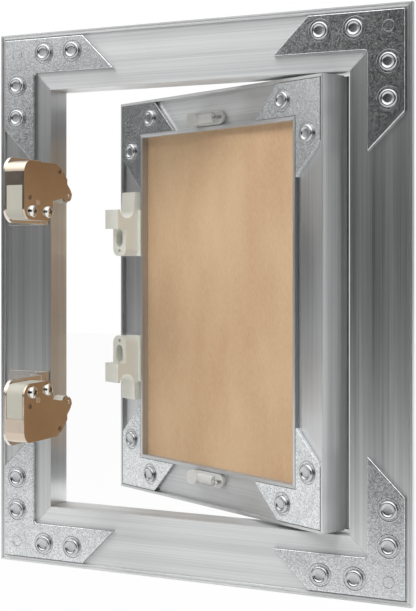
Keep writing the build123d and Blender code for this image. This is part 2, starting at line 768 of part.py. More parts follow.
# Nylon tether lug: a round-ended base, a raised head and a half-round barrel
lug_face = Plane(origin=(lug_middle_x, flange_back, lug_height), x_dir=(1, 0, 0), z_dir=(0, -1, 0))
head_middle = (lug_head_length - lug_length) / 2
with BuildPart() as tether_lug:
    with BuildSketch(lug_face):
        SlotOverall(lug_length, lug_width)
    extrude(amount=lug_base_thickness)
    with BuildSketch(lug_face):
        with Locations((head_middle, 0)):
            RectangleRounded(lug_head_length, lug_width, lug_width / 2 - board_fit)
    extrude(amount=lug_head_height)
    with BuildSketch(Plane(origin=lug_face.origin, x_dir=(0, -1, 0), z_dir=(1, 0, 0)).offset(head_middle)):
        with Locations((lug_base_thickness, 0)):
            Circle(lug_barrel_radius)
        Rectangle(2 * lug_barrel_radius, lug_width, align=(Align.MAX, Align.CENTER), mode=Mode.SUBTRACT)
    extrude(amount=lug_length - lug_head_length - lug_width / 3)
    with BuildSketch(lug_face):
        with Locations(*[(x - lug_middle_x, 0) for x in lug_pin_places]):
            Circle(lug_pin_radius + static_fit)
    extrude(amount=lug_base_thickness + 2 * lug_barrel_radius, mode=Mode.SUBTRACT)

with BuildPart() as lug_pins:
    with BuildSketch(lug_face.offset(-flange_thickness)):
        with Locations(*[(x - lug_middle_x, 0) for x in lug_pin_places]):
            Circle(lug_pin_radius)
    extrude(amount=flange_thickness + lug_base_thickness + lug_barrel_radius + lug_pin_proud)

for level, flip in (("top", False), ("bottom", True)):
    for piece, name in ((tether_lug.part, "tether_lug"), (lug_pins.part, "tether_lug_pins")):
        save(piece.mirror(Plane.XY) if flip else piece, f"{name}_{level}", LEAF_AJAR)
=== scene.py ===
"""Look of an aluminium access panel for plasterboard walls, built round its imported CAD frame."""
import logging
import math
from collections.abc import Callable
from dataclasses import dataclass
from enum import Enum

import bpy
from mathutils import Matrix, Vector


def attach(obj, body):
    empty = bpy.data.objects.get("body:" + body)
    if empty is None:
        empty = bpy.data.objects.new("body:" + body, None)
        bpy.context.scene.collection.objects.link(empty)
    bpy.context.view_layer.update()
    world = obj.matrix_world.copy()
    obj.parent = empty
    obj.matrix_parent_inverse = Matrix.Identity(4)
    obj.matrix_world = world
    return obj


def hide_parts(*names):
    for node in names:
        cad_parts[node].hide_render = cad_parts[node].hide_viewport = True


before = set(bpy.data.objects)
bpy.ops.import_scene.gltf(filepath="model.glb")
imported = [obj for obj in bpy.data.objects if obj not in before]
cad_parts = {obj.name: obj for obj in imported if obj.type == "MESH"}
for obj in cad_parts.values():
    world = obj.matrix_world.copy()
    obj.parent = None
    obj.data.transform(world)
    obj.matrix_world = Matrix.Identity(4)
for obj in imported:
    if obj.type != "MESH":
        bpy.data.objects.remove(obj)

log = logging.getLogger("access_panel")

MM = 0.001
Point = tuple[float, float, float]


class Body(Enum):
    """Rigid bodies of the panel that a piece can ride on."""

    FRAME = "frame"
    LEAF = "leaf"
    UPPER_LATCH = "upper_latch"
    LOWER_LATCH = "lower_latch"


class Grain(Enum):
    """Ways in which a rail's die lines can run."""

    UPRIGHT = "upright"
    ACROSS = "across"
    LEAF_ACROSS = "leaf_across"


# ------- small tools


def linear(code: str) -> tuple[float, float, float, float]:
    """Turn an sRGB hex colour into linear red, green, blue and alpha.

    Args:
        code: Six hex digits, with or without a leading #.

    Returns:
        Linear components with alpha 1.
    """
    digits = code.lstrip("#")
    shares = [int(digits[place:place + 2], 16) / 255 for place in (0, 2, 4)]
    red, green, blue = [
        share / 12.92 if share <= 0.04045 else ((share + 0.055) / 1.055) ** 2.4 for share in shares
    ]
    return red, green, blue, 1.0


def add_node(tree: bpy.types.NodeTree, kind: str, settings: dict | None = None, links: dict | None = None,
             **attributes: object) -> bpy.types.Node:
    """Add a shader node with its settings and links.

    Args:
        tree: Node tree that gets the node.
        kind: Blender's name of the node type.
        settings: Values of input sockets by name or index.
        links: Output sockets that feed input sockets, by name or index.
        attributes: Properties of the node itself.

    Returns:
        The new node.
    """
    made = tree.nodes.new(kind)
    for name, value in attributes.items():
        setattr(made, name, value)
    for name, value in (settings or {}).items():
        made.inputs[name].default_value = value
    for name, source in (links or {}).items():
        tree.links.new(source, made.inputs[name])
    return made


def new_material(name: str) -> tuple[bpy.types.Material, bpy.types.NodeTree]:
    """Make an empty node material and return it with its tree."""
    material = bpy.data.materials.new(name)
    material.use_nodes = True
    material.node_tree.nodes.clear()
    return material, material.node_tree


def close_material(tree: bpy.types.NodeTree, surface: bpy.types.NodeSocket) -> None:
    """Link a surface to a material's output."""
    add_node(tree, "ShaderNodeOutputMaterial", links={"Surface": surface})


def object_place(tree: bpy.types.NodeTree, scale: Point = (1.0, 1.0, 1.0),
                 turn: float = 0.0) -> bpy.types.NodeSocket:
    """Object coordinates, scaled and turned about Z.

    Args:
        tree: Node tree that gets the nodes.
        scale: Pattern repeats per metre on each axis.
        turn: Turn about Z in radians, made before the scale.

    Returns:
        The socket with the mapped coordinates.
    """
    place = add_node(tree, "ShaderNodeTexCoord").outputs["Object"]
    if turn:
        place = add_node(tree, "ShaderNodeMapping", {"Rotation": (0.0, 0.0, turn)},
                         {"Vector": place}).outputs["Vector"]
    return add_node(tree, "ShaderNodeMapping", {"Scale": scale}, {"Vector": place}).outputs["Vector"]


def select_only(piece: bpy.types.Object) -> None:
    """Leave edit mode, select one object and make it active."""
    if bpy.context.mode != "OBJECT":
        bpy.ops.object.mode_set(mode="OBJECT")
    bpy.ops.object.select_all(action="DESELECT")
    piece.select_set(True)
    bpy.context.view_layer.objects.active = piece


def pick_faces(piece: bpy.types.Object, wanted: Callable[[bpy.types.MeshPolygon], bool]) -> None:
    """Go to edit mode with only the wanted faces selected."""
    select_only(piece)
    bpy.ops.object.mode_set(mode="EDIT")
    bpy.ops.mesh.select_mode(type="FACE")
    bpy.ops.mesh.select_all(action="DESELECT")
    bpy.ops.object.mode_set(mode="OBJECT")
    for face in piece.data.polygons:
        face.select = wanted(face)
    bpy.ops.object.mode_set(mode="EDIT")


def pick_edges(piece: bpy.types.Object, wanted: Callable[[list[Vector]], bool]) -> None:
    """Go to edit mode with only the edges selected whose two ends are wanted."""
    select_only(piece)
    bpy.ops.object.mode_set(mode="EDIT")
    bpy.ops.mesh.select_mode(type="EDGE")
    bpy.ops.mesh.select_all(action="DESELECT")
    bpy.ops.object.mode_set(mode="OBJECT")
    for edge in piece.data.edges:
        edge.select = wanted([piece.data.vertices[index].co for index in edge.vertices])
    bpy.ops.object.mode_set(mode="EDIT")


def settle(piece: bpy.types.Object) -> bpy.types.Object:
    """Move an object's place, turn and scale into its mesh."""
    select_only(piece)
    bpy.ops.object.transform_apply(location=True, rotation=True, scale=True)
    return piece


def keep_flats_flat(piece: bpy.types.Object) -> None:
    """Let a piece's large faces set the normals that they share with its rounded edges."""
    select_only(piece)
    weights = piece.modifiers.new("flat_faces_lead", "WEIGHTED_NORMAL")
    weights.keep_sharp = True
    weights.weight = 100
    bpy.ops.object.modifier_apply(modifier=weights.name)


def round_edges(piece: bpy.types.Object, width: float, segments: int = 2, angle: float = 28.0) -> None:
    """Round a piece's sharp edges with an applied bevel and smooth them.

    Args:
        piece: Object whose edges are rounded.
        width: Width of the rounding in metres.
        segments: Faces across the rounding.
        angle: Smallest angle of an edge that is rounded, in degrees.
    """
    select_only(piece)
    rounding = piece.modifiers.new("rounding", "BEVEL")
    rounding.width = width
    rounding.segments = segments
    rounding.limit_method = "ANGLE"
    rounding.angle_limit = math.radians(angle)
    rounding.harden_normals = False
    rounding.use_clamp_overlap = True
    bpy.ops.object.modifier_apply(modifier=rounding.name)
    bpy.ops.object.shade_smooth_by_angle(angle=math.radians(40.0))


def dress(piece: bpy.types.Object, material: bpy.types.Material, body: Body) -> None:
    """Give a finished piece its material and the body that carries it."""
    piece.data.materials.clear()
    piece.data.materials.append(material)
    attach(piece, body.value)
    log.info("%s: %d faces on %s", piece.name, len(piece.data.polygons), body.value)


def softened(node: str, width: float, material: bpy.types.Material, body: Body,
             bends: tuple[tuple[float, float], ...] = ()) -> bpy.types.Object:
    """Stand a copy of a CAD node, with its edges rounded as a real one's are, for the node.

    Args:
        node: Name of the CAD node.
        width: Width of the rounding in metres.
        material: Material of the copy.
        body: Body that carries it.
        bends: Y and height, in metres, of corners across X that take a wide bend.

    Returns:
        The copy.
    """
    piece = bpy.data.objects.new(f"{node}_finished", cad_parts[node].data.copy())
    bpy.context.collection.objects.link(piece)
    select_only(piece)
    bpy.ops.object.mode_set(mode="EDIT")
    bpy.ops.mesh.select_all(action="SELECT")
    bpy.ops.mesh.remove_doubles(threshold=1e-6)
    bpy.ops.mesh.dissolve_limited(angle_limit=math.radians(0.5))
    bpy.ops.object.mode_set(mode="OBJECT")
    if bends:
        reach = 1.5 * MM
        pick_edges(piece, lambda ends: abs(ends[0].x - ends[1].x) > 0.4 * MM and all(
            any(math.hypot(end.y - y, abs(end.z) - height) < reach for y, height in bends) for end in ends))
        bpy.ops.mesh.bevel(offset=1.9 * MM, segments=4)
        bpy.ops.object.mode_set(mode="OBJECT")
    round_edges(piece, width)
    keep_flats_flat(piece)
    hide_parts(node)
    dress(piece, material, body)
    return piece


def turned(name: str, profile: list[tuple[float, float]], steps: int = 40) -> bpy.types.Object:
    """Turn a profile about Z, as on a lathe.

    Args:
        name: Name of the new object.
        profile: Radius and height of each point in metres, from the axis outwards and down.
        steps: Faces round the turn.

    Returns:
        The turned object, at the origin.
    """
    bpy.ops.object.select_all(action="DESELECT")
    bpy.ops.mesh.primitive_plane_add(size=MM)
    piece = bpy.context.active_object
    piece.name = name
    bpy.ops.object.mode_set(mode="EDIT")
    bpy.ops.mesh.select_mode(type="VERT")
    bpy.ops.mesh.select_all(action="SELECT")
    bpy.ops.mesh.merge(type="CENTER")
    radius, height = profile[0]
    bpy.ops.transform.translate(value=(radius, 0.0, height))
    for (near, low), (far, high) in zip(profile, profile[1:]):
        bpy.ops.mesh.extrude_region_move(TRANSFORM_OT_translate={"value": (far - near, 0.0, high - low)})
    bpy.ops.mesh.select_all(action="SELECT")
    bpy.ops.mesh.spin(steps=steps, angle=math.tau, center=(0.0, 0.0, 0.0), axis=(0.0, 0.0, 1.0), dupli=False)
    bpy.ops.mesh.select_all(action="SELECT")
    bpy.ops.mesh.remove_doubles(threshold=1e-7)
    bpy.ops.mesh.normals_make_consistent(inside=False)
    bpy.ops.object.mode_set(mode="OBJECT")
    return piece


def copy_to(piece: bpy.types.Object, name: str, place: Matrix) -> bpy.types.Object:
    """Copy an object with its own mesh, moved by a matrix that goes into the mesh."""
    twin = bpy.data.objects.new(name, piece.data.copy())
    bpy.context.collection.objects.link(twin)
    twin.data.transform(place)
    if place.determinant() < 0:
        twin.data.flip_normals()
    return twin


def discard(piece: bpy.types.Object) -> None:
    """Delete a pattern object that was only copied from."""
    bpy.data.objects.remove(piece, do_unlink=True)


def joined(pieces: list[bpy.types.Object], name: str) -> bpy.types.Object:
    """Join several objects into one and name it."""
    bpy.ops.object.select_all(action="DESELECT")
    for piece in pieces:
        piece.select_set(True)
    bpy.context.view_layer.objects.active = pieces[0]
    bpy.ops.object.join()
    pieces[0].name = name
    return pieces[0]


# ------- finishes


@dataclass(frozen=True)
class ExtrudedAluminium:
    """Mill-finish aluminium extrusion, whose die lines spread reflections across the rail."""

    grain: Grain
    light: str = "#d4d5d5"
    dark: str = "#b6b7b8"
    roughness: float = 0.46
    anisotropy: float = 0.88
    line_spacing: float = 0.45 * MM
    streak_length: float = 90.0 * MM
    leaf_turn: float = math.radians(25.7)

    def material(self) -> bpy.types.Material:
        """Build the material: fine streaks along the rail over slow patches of tone."""
        material, tree = new_material(f"extruded_aluminium_{self.grain.value}")
        across, along = 1.0 / self.line_spacing, 1.0 / self.streak_length
        upright = self.grain is Grain.UPRIGHT
        scale = (across, across, along) if upright else (along, across, across)
        turn = self.leaf_turn if self.grain is Grain.LEAF_ACROSS else 0.0
        lines = add_node(tree, "ShaderNodeTexNoise", {"Scale": 1.0, "Detail": 3.0, "Roughness": 0.6},
                         {"Vector": object_place(tree, scale, turn)})
        patches = add_node(tree, "ShaderNodeTexNoise", {"Scale": 1.0, "Detail": 2.0},
                           {"Vector": object_place(tree, tuple(part * 0.06 for part in scale), turn)})
        tone = add_node(tree, "ShaderNodeMath", {1: 0.5}, {0: patches.outputs["Fac"]}, operation="MULTIPLY")
        mixed = add_node(tree, "ShaderNodeMath", {1: 0.5}, {0: lines.outputs["Fac"], 2: tone.outputs[0]},
                         operation="MULTIPLY_ADD")
        ramp = add_node(tree, "ShaderNodeValToRGB", links={"Fac": mixed.outputs[0]})
        ramp.color_ramp.elements[0].position = 0.36
        ramp.color_ramp.elements[0].color = linear(self.dark)
        ramp.color_ramp.elements[1].position = 0.62
        ramp.color_ramp.elements[1].color = linear(self.light)
        rough = add_node(tree, "ShaderNodeMapRange", {"From Min": 0.3, "From Max": 0.7,
                         "To Min": self.roughness - 0.07, "To Max": self.roughness + 0.09},
                         {"Value": mixed.outputs[0]})
        spread = (1.0, 0.0, 0.0) if upright else (0.0, 0.0, 1.0)
        direction = add_node(tree, "ShaderNodeCombineXYZ", dict(enumerate(spread)))
        tangent = add_node(tree, "ShaderNodeVectorTransform", links={"Vector": direction.outputs[0]},
                           vector_type="VECTOR", convert_from="OBJECT", convert_to="WORLD")
        bump = add_node(tree, "ShaderNodeBump", {"Strength": 0.20, "Distance": 0.00002},
                        {"Height": lines.outputs["Fac"]})
        metal = add_node(tree, "ShaderNodeBsdfPrincipled", {"Metallic": 1.0, "Anisotropic": self.anisotropy},
                         {"Base Color": ramp.outputs["Color"], "Roughness": rough.outputs[0],
                          "Tangent": tangent.outputs[0], "Normal": bump.outputs[0]})
        close_material(tree, metal.outputs[0])
        return material


@dataclass(frozen=True)
class GalvanisedSheet:
    """Hot-dip galvanised steel sheet of minimised spangle: fine zinc grains with faint clouds."""

    flake: float = 0.6 * MM
    cloud: float = 9.0 * MM
    light: str = "#d0d2d3"
    dark: str = "#a4a7a8"

    def material(self) -> bpy.types.Material:
        """Build the material: flakes of differing tone and gloss, bent by noise."""
        material, tree = new_material("galvanised_sheet")
        place = object_place(tree, (1.0 / self.flake,) * 3)
        wander = add_node(tree, "ShaderNodeTexNoise", {"Scale": 0.8, "Detail": 2.0}, {"Vector": place})
        bent = add_node(tree, "ShaderNodeMixRGB", {"Fac": 0.45}, {1: place, 2: wander.outputs["Color"]},
                        blend_type="ADD")
        flakes = add_node(tree, "ShaderNodeTexVoronoi", {"Scale": 1.0}, {"Vector": bent.outputs[0]})
        grain = add_node(tree, "ShaderNodeRGBToBW", links={"Color": flakes.outputs["Color"]})
        clouds = add_node(tree, "ShaderNodeTexNoise", {"Scale": 1.0, "Detail": 3.0},
                          {"Vector": object_place(tree, (1.0 / self.cloud,) * 3)})
        grey = add_node(tree, "ShaderNodeMixRGB", {"Fac": 0.35},
                        {1: grain.outputs[0], 2: clouds.outputs["Fac"]})
        ramp = add_node(tree, "ShaderNodeValToRGB", links={"Fac": grey.outputs[0]})
        ramp.color_ramp.elements[0].position = 0.25
        ramp.color_ramp.elements[0].color = linear(self.dark)
        ramp.color_ramp.elements[1].position = 0.75
        ramp.color_ramp.elements[1].color = linear(self.light)
        rough = add_node(tree, "ShaderNodeMapRange", {"To Min": 0.18, "To Max": 0.29},
                         {"Value": grey.outputs[0]})
        tilt = add_node(tree, "ShaderNodeBump", {"Strength": 0.17, "Distance": 0.00008},
                        {"Height": grain.outputs[0]})
        metal = add_node(tree, "ShaderNodeBsdfPrincipled", {"Metallic": 0.95},
                         {"Base Color": ramp.outputs["Color"], "Roughness": rough.outputs[0],
                          "Normal": tilt.outputs[0]})
        close_material(tree, metal.outputs[0])
        return material


@dataclass(frozen=True)
class PlatedSteel:
    """Bright plated steel: nickel on the latch cases, zinc on pins and screws."""

    name: str
    colour: str
    roughness: float

    def material(self) -> bpy.types.Material:
        """Build the material: a mirror with a faint ripple from the sheet below the plating."""
        material, tree = new_material(self.name)
        ripple = add_node(tree, "ShaderNodeTexNoise", {"Scale": 1.0, "Detail": 1.0},
                          {"Vector": object_place(tree, (160.0, 160.0, 160.0))})
        bump = add_node(tree, "ShaderNodeBump", {"Strength": 0.10, "Distance": 0.0004},
                        {"Height": ripple.outputs["Fac"]})
        metal = add_node(tree, "ShaderNodeBsdfPrincipled", {
            "Base Color": linear(self.colour), "Metallic": 1.0, "Roughness": self.roughness,
        }, {"Normal": bump.outputs[0]})
        close_material(tree, metal.outputs[0])
        return material


@dataclass(frozen=True)
class MouldedNylon:
    """Moulded polyamide: a soft gloss over a body that light enters a little way."""

    name: str
    colour: str
    depth: float
    clearness: float = 0.0
    roughness: float = 0.38

    def material(self) -> bpy.types.Material:
        """Build the material: subsurface light and a fine moulded grain."""
        material, tree = new_material(self.name)
        grain = add_node(tree, "ShaderNodeTexNoise", {"Scale": 1.0, "Detail": 2.0},
                         {"Vector": object_place(tree, (1400.0, 1400.0, 1400.0))})
        bump = add_node(tree, "ShaderNodeBump", {"Strength": 0.08, "Distance": 0.0001},
                        {"Height": grain.outputs["Fac"]})
        plastic = add_node(tree, "ShaderNodeBsdfPrincipled", {
            "Base Color": linear(self.colour), "Roughness": self.roughness, "IOR": 1.53,
            "Subsurface Weight": 0.15, "Subsurface Scale": self.depth,
            "Subsurface Radius": (1.0, 0.9, 0.75), "Transmission Weight": self.clearness,
        }, {"Normal": bump.outputs[0]})
        close_material(tree, plastic.outputs[0])
        return material


@dataclass(frozen=True)
class LinerPaper:
    """Paper liner of plasterboard: matt recycled fibre with faint clouds and fibre streaks."""

    name: str
    pale: str
    deep: str

    def material(self) -> bpy.types.Material:
        """Build the material: clouds and vertical fibre streaks."""
        material, tree = new_material(self.name)
        clouds = add_node(tree, "ShaderNodeTexNoise", {"Scale": 1.0, "Detail": 4.0, "Roughness": 0.55},
                          {"Vector": object_place(tree, (32.0, 32.0, 14.0))})
        fibres = add_node(tree, "ShaderNodeTexNoise", {"Scale": 1.0, "Detail": 3.0, "Roughness": 0.7},
                          {"Vector": object_place(tree, (1300.0, 1300.0, 420.0))})
        tone = add_node(tree, "ShaderNodeMath", {1: 0.62}, {0: clouds.outputs["Fac"]}, operation="MULTIPLY")
        mixed = add_node(tree, "ShaderNodeMath", {1: 0.38}, {0: fibres.outputs["Fac"], 2: tone.outputs[0]},
                         operation="MULTIPLY_ADD")
        ramp = add_node(tree, "ShaderNodeValToRGB", links={"Fac": mixed.outputs[0]})
        ramp.color_ramp.elements[0].position = 0.36
        ramp.color_ramp.elements[0].color = linear(self.deep)
        ramp.color_ramp.elements[1].position = 0.64
        ramp.color_ramp.elements[1].color = linear(self.pale)
        bump = add_node(tree, "ShaderNodeBump", {"Strength": 0.25, "Distance": 0.0001},
                        {"Height": fibres.outputs["Fac"]})
        paper = add_node(tree, "ShaderNodeBsdfPrincipled", {"Roughness": 0.85, "IOR": 1.45},
                         {"Base Color": ramp.outputs["Color"], "Normal": bump.outputs[0]})
        close_material(tree, paper.outputs[0])
        return material


class Finishes:
    """Every material of the panel, made once."""

    def __init__(self) -> None:
        """Build the materials."""
        self.upright = ExtrudedAluminium(Grain.UPRIGHT, roughness=0.37, anisotropy=0.80).material()
        self.across = ExtrudedAluminium(Grain.ACROSS).material()
        self.leaf_across = ExtrudedAluminium(Grain.LEAF_ACROSS).material()
        self.galvanised = GalvanisedSheet().material()
        self.nickel = PlatedSteel("bright_nickel_plate", "#b0a395", 0.07).material()
        self.zinc = PlatedSteel("bright_zinc_plate", "#c4c2be", 0.12).material()
        self.satin = PlatedSteel("satin_nickel_plate", "#c4c0ba", 0.24).material()
        # The rivets' colour, darker than the case's nickel, is painted shade on the heads; only their higher
        # roughness is real.
        self.rivet = PlatedSteel("rivet_steel_painted_shade", "#7a6f63", 0.35).material()
        self.clinch = PlatedSteel("pressed_zinc_steel", "#acaeaf", 0.27).material()
        self.cream = MouldedNylon("cream_acetal", "#b6b3a7", 0.0006).material()
        self.white = MouldedNylon("white_polyamide", "#e3e2d8", 0.0008).material()
        self.clear = MouldedNylon("natural_polyamide", "#e9e9e6", 0.0020, 0.35).material()
        self.back_paper = LinerPaper("tan_liner_paper", "#cbae8c", "#b99877").material()
        self.face_paper = LinerPaper("ivory_liner_paper", "#e6e3dc", "#d8d4ca").material()
        self.gypsum = LinerPaper("gypsum_core", "#e4e2dd", "#d3d0c8").material()


# ------- sub-assemblies


@dataclass
class MitredRails:
    """Four mitred aluminium rails of the frame or of the leaf."""

    family: str
    body: Body
    rounding: float = 0.22 * MM

    def build(self, finishes: Finishes) -> None:
        """Stand rounded rails for the CAD ones.

        Args:
            finishes: Materials of the panel.
        """
        flat = finishes.leaf_across if self.body is Body.LEAF else finishes.across
        for side, metal in (("top_rail", flat), ("bottom_rail", flat),
                            ("lock_stile", finishes.upright), ("hinge_stile", finishes.upright)):
            softened(f"{self.family}_{side}", self.rounding, metal, self.body)


@dataclass
class CornerPlates:
    """Four L-shaped corner plates with their clinches, on the frame or on the leaf."""

    family: str
    body: Body
    half_width: float
    half_height: float
    gap: float
    arm: float
    outer_end: float
    from_edge: float
    positions: tuple[float, ...]
    elbow: float
    coin_mark: bool
    face: float = -2.5 * MM
    thickness: float = 2.0 * MM
    clinch_radius: float = 4.1 * MM
    clinch_height: float = 1.6 * MM
    halo_radius: float = 5.5 * MM

    def blank(self) -> bpy.types.Object:
        """Model the L at the top hinge corner: a square elbow, two pulled arms and slanted ends."""
        middle = self.gap + self.arm / 2
        reach = self.outer_end - self.gap
        bpy.ops.object.select_all(action="DESELECT")
        bpy.ops.mesh.primitive_cube_add(size=1.0, location=(
            self.half_width - middle, self.face - self.thickness / 2, self.half_height - middle))
        piece = bpy.context.active_object
        piece.scale = (self.arm, self.thickness, self.arm)
        settle(piece)
        elbow = self.half_width - self.gap - self.arm
        pick_faces(piece, lambda face: face.normal.x < -0.99)
        bpy.ops.mesh.extrude_region_move(TRANSFORM_OT_translate={"value": (-reach, 0.0, 0.0)})
        pick_faces(piece, lambda face: face.normal.z < -0.99 and face.center.x > elbow)
        bpy.ops.mesh.extrude_region_move(TRANSFORM_OT_translate={"value": (0.0, 0.0, -reach)})
        near, far = self.half_width - self.gap, self.half_width - self.outer_end
        high, low = self.half_height - self.gap, self.half_height - self.outer_end
        for start, normal in (((far, 0.0, high), (-1.0, 0.0, 1.0)), ((near, 0.0, low), (1.0, 0.0, -1.0))):
            pick_faces(piece, lambda face: True)
            bpy.ops.mesh.bisect(plane_co=start, plane_no=normal, use_fill=True, clear_outer=True)
        inner = self.half_height - self.gap - self.arm
        pick_edges(piece, lambda ends: all(
            abs(end.x - elbow) < MM / 100 and abs(end.z - inner) < MM / 100 for end in ends))
        bpy.ops.mesh.bevel(offset=self.elbow, segments=5)
        bpy.ops.object.mode_set(mode="OBJECT")
        return piece

    def clinch(self) -> bpy.types.Object:
        """Turn one clinch: a rolled rim, a domed dimple in it and a shallow step round its foot."""
        radius, height = self.clinch_radius, self.clinch_height
        profile = [
            (0.0, 0.66 * height), (0.44 * radius, 0.66 * height), (0.54 * radius, 0.69 * height),
            (0.60 * radius, 0.80 * height), (0.66 * radius, 0.94 * height), (0.74 * radius, height),
            (0.84 * radius, 0.98 * height), (0.93 * radius, 0.86 * height), (0.99 * radius, 0.60 * height),
            (radius, 0.25 * height), (0.98 * radius, -0.02 * height),
        ]
        button = turned("clinch", profile)
        select_only(button)
        bpy.ops.object.shade_smooth_by_angle(angle=math.radians(60.0))
        return button

    def halo(self, radius: float, width: float) -> bpy.types.Object:
        """Turn the faint pressed ring that a tool leaves in the zinc."""
        rise = 0.05 * MM
        ring = turned("halo", [(radius - width, -rise / 5), (radius - 0.7 * width, rise),
                               (radius - 0.3 * width, rise), (radius, -rise / 5)])
        select_only(ring)
        bpy.ops.object.shade_smooth_by_angle(angle=math.radians(80.0))
        return ring

    def build(self, finishes: Finishes, turn: Matrix) -> None:
        """Model one plate and mirror it to the four corners.

        Args:
            finishes: Materials of the panel.
            turn: Where the corner's body stands from where it is modelled.
        """
        blank = self.blank()
        round_edges(blank, 0.5 * MM, 3)
        button = self.clinch()
        halo = self.halo(self.halo_radius, 0.7 * MM)
        mark = self.halo(2.8 * MM, 0.5 * MM)
        stand = Matrix.Rotation(math.radians(90.0), 4, "X")
        spots = [(self.from_edge, along) for along in self.positions]
        spots += [(along, self.from_edge) for along in self.positions]
        outer = self.face - self.thickness
        for corner, side, level in (("top_hinge", 1, 1), ("bottom_hinge", 1, -1),
                                    ("top_lock", -1, 1), ("bottom_lock", -1, -1)):
            flip = turn @ Matrix.Diagonal((side, 1.0, level, 1.0))
            plate = copy_to(blank, f"{self.family}_{corner}_gusset", flip)
            keep_flats_flat(plate)
            pressed = []
            for number, (across, down) in enumerate(spots):
                place = Matrix.Translation((self.half_width - across, outer, self.half_height - down))
                pressed.append(copy_to(button, f"button_{number}", flip @ place @ stand))
                pressed.append(copy_to(halo, f"halo_{number}", flip @ place @ stand))
            if self.coin_mark:
                place = Matrix.Translation(
                    (self.half_width - self.from_edge, outer, self.half_height - self.from_edge))
                pressed.append(copy_to(mark, "mark", flip @ place @ stand))
            clinches = joined(pressed, f"{self.family}_{corner}_clinches")
            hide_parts(f"{self.family}_corner_plate_{corner}")
            dress(plate, finishes.galvanised, self.body)
            dress(clinches, finishes.clinch, self.body)
        for pattern in (blank, button, halo, mark):
            discard(pattern)


@dataclass
class PanScrew:
    """Phillips pan-head screw: a turned head with a cross recess."""

    radius: float
    height: float
    shank: float
    length: float

    def head(self) -> bpy.types.Object:
        """Turn the screw along +Z with its head's foot at the origin, and cut the cross."""
        rim = 0.18 * self.height
        profile = [
            (0.0, self.height), (0.45 * self.radius, 0.98 * self.height), (0.75 * self.radius, 0.84 * self.height),
            (0.93 * self.radius, 0.55 * self.height), (self.radius, rim), (self.radius, 0.0),
            (self.shank, 0.0), (self.shank, -self.length), (0.0, -self.length),
        ]
        screw = turned("screw", profile, 32)
        cutters = []
        for turn in (0.0, 90.0):
            bpy.ops.object.select_all(action="DESELECT")
            bpy.ops.mesh.primitive_cube_add(size=1.0, location=(0.0, 0.0, self.height))
            cutter = bpy.context.active_object
            cutter.scale = (1.35 * self.radius, 0.30 * self.radius, 1.3 * self.height)
            cutter.rotation_euler = (0.0, 0.0, math.radians(turn))
            settle(cutter)
            pick_faces(cutter, lambda face: face.normal.z < -0.99)
            bpy.ops.transform.resize(value=(0.55, 0.6, 1.0))
            bpy.ops.object.mode_set(mode="OBJECT")
            cutters.append(cutter)
        for cutter in cutters:
            select_only(screw)
            recess = screw.modifiers.new("recess", "BOOLEAN")
            recess.operation = "DIFFERENCE"
            recess.object = cutter
            bpy.ops.object.modifier_apply(modifier=recess.name)
            discard(cutter)
        select_only(screw)
        bpy.ops.object.shade_smooth_by_angle(angle=math.radians(35.0))
        return screw


@dataclass
class TouchLatch:
    """One touch latch on its bracket, upper or lower."""

    level: str
    body: Body
    face_x: float = -60.2 * MM
    flange_y: float = -2.5 * MM
    screw_depths: tuple[float, ...] = (42.85 * MM, 29.75 * MM)
    screw_height: float = 41.3 * MM
    case_bends: tuple[tuple[float, float], ...] = (
        (-52.0 * MM, 61.0 * MM), (-48.8 * MM, 64.2 * MM), (-52.0 * MM, 40.5 * MM), (-48.8 * MM, 37.3 * MM),
        (-30.6 * MM, 37.3 * MM), (-27.4 * MM, 40.5 * MM))
    bracket_bends: tuple[tuple[float, float], ...] = (
        (-50.9 * MM, 40.0 * MM), (-46.9 * MM, 36.0 * MM), (-50.9 * MM, 62.2 * MM), (-46.9 * MM, 66.2 * MM))

    def build(self, finishes: Finishes) -> None:
        """Dress the latch's pieces and model its screws.

        Args:
            finishes: Materials of the panel.
        """
        sign = 1 if self.level == "upper" else -1
        for node, width, metal, slot_name, body in (
            ("latch_bracket", 0.30, finishes.satin, "nickel_plated_steel", Body.FRAME),
            ("bracket_rivets", 0.20, finishes.satin, "nickel_plated_steel", Body.FRAME),
            ("latch_case", 0.45, finishes.nickel, "nickel_plated_steel", Body.FRAME),
            ("case_rivets", 0.10, finishes.rivet, "nickel_plated_steel", Body.FRAME),
            ("latch_body", 0.35, finishes.cream, "cream_nylon", Body.FRAME),
            ("lever_pin", 0.15, finishes.zinc, "bright_steel", Body.FRAME),
            ("lever_spring", 0.02, finishes.zinc, "bright_steel", Body.FRAME),
            ("latch_lever", 0.30, finishes.nickel, "nickel_plated_steel", self.body),
            ("nose_pad", 0.30, finishes.cream, "cream_nylon", self.body),
            ("nose_pin", 0.12, finishes.zinc, "bright_steel", self.body),
        ):
            bends = {"latch_bracket": self.bracket_bends, "latch_case": self.case_bends,
                     "latch_body": self.case_bends}.get(node, ())
            softened(f"{self.level}_{node}", width * MM, metal, body, bends)
        pattern = PanScrew(2.9 * MM, 1.9 * MM, 1.5 * MM, 13.5 * MM).head()
        stand = Matrix.Rotation(math.radians(90.0), 4, "Y") @ Matrix.Rotation(math.radians(24.0), 4, "Z")
        screws = [
            copy_to(pattern, f"screw_{number}", Matrix.Translation(
                (self.face_x, self.flange_y - depth, sign * self.screw_height)) @ stand)
            for number, depth in enumerate(self.screw_depths)
        ]
        pair = joined(screws, f"{self.level}_case_screws")
        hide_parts(f"{self.level}_latch_screws")
        dress(pair, finishes.zinc, Body.FRAME)
        discard(pattern)


